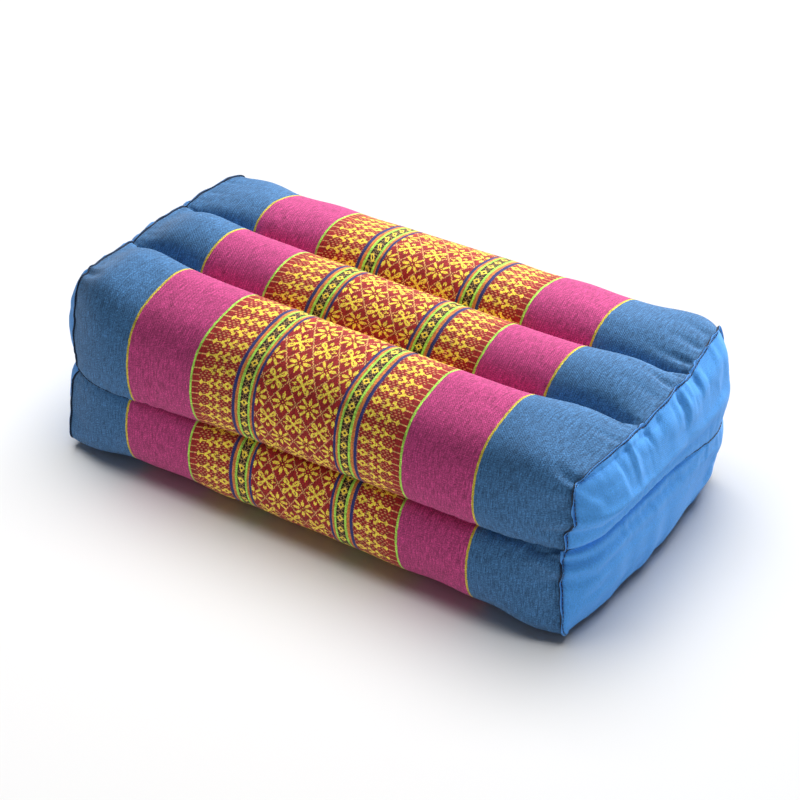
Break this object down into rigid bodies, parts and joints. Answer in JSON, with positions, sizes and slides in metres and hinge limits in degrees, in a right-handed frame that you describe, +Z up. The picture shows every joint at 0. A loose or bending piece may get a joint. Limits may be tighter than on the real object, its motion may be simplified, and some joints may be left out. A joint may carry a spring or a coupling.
{
  "type": "meditation cushion",
  "caption": "Firm rectangular floor cushion of stuffed tubes under one striped wrap, with plain stitched end panels, for sitting or resting on.",
  "frame": {"origin": "on the floor under the middle of the cushion", "axes": "+Z up, X along the tubes from end panel to end panel, Y across the tubes; the front long side faces -Y"},
  "size_m": [0.3864, 0.2102, 0.1217],
  "materials": {
    "striped_cloth": "matt woven cotton with bands of blue, magenta and a red and yellow pattern",
    "panel_cloth": "matt plain-woven cotton, mid blue",
    "seam_cloth": "matt turned cotton edge with navy overcasting"
  },
  "bodies": {
    "root": {"filled_wrap": "striped_cloth", "end_panel_left": "panel_cloth", "end_panel_right": "panel_cloth", "end_seam_left": "seam_cloth", "end_seam_right": "seam_cloth"}
  },
  "joints": []
}
